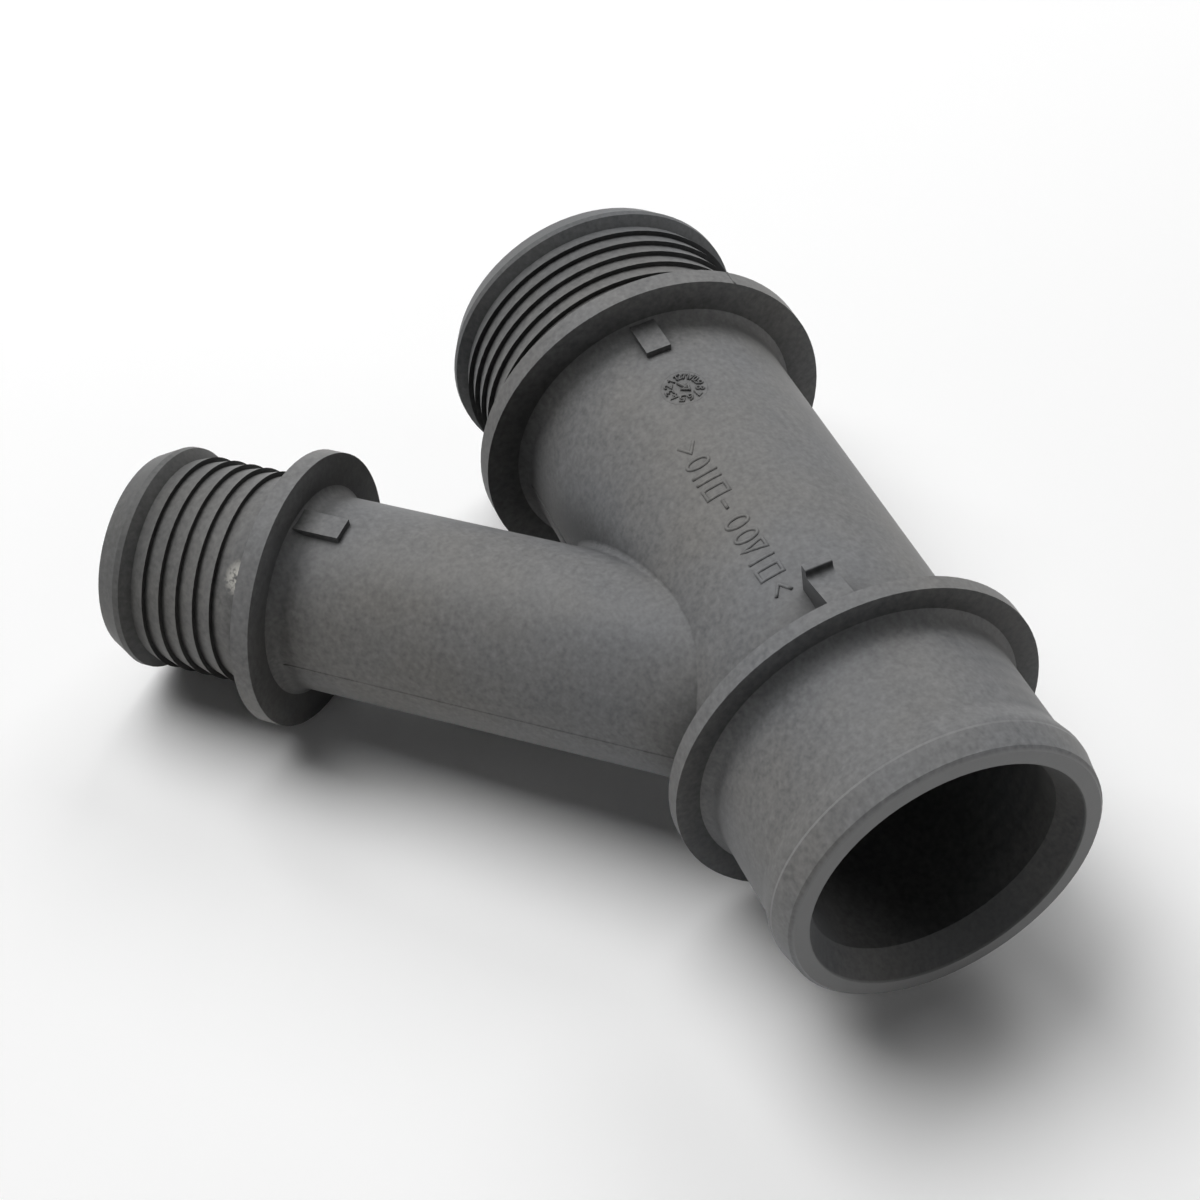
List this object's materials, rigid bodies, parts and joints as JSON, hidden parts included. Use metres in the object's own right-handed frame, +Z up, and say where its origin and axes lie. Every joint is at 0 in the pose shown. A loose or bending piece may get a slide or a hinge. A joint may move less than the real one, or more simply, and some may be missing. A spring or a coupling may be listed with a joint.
{
  "type": "radiator hose connector",
  "caption": "Moulded plastic Y connector that joins a smooth hose spigot to a barbed spigot and a barbed side branch, with stop flanges.",
  "frame": {"origin": "centre of the smooth spigot's mouth face", "axes": "+X along the main line towards its barbed end, the branch leaves towards +X and +Y, +Z up with the fitting lying on its three flange rims"},
  "size_m": [0.102, 0.0955, 0.046],
  "materials": {
    "moulded_plastic": "dark grey glass-filled nylon, matte as moulded"
  },
  "bodies": {
    "root": {"connector_body": "moulded_plastic"}
  },
  "joints": []
}
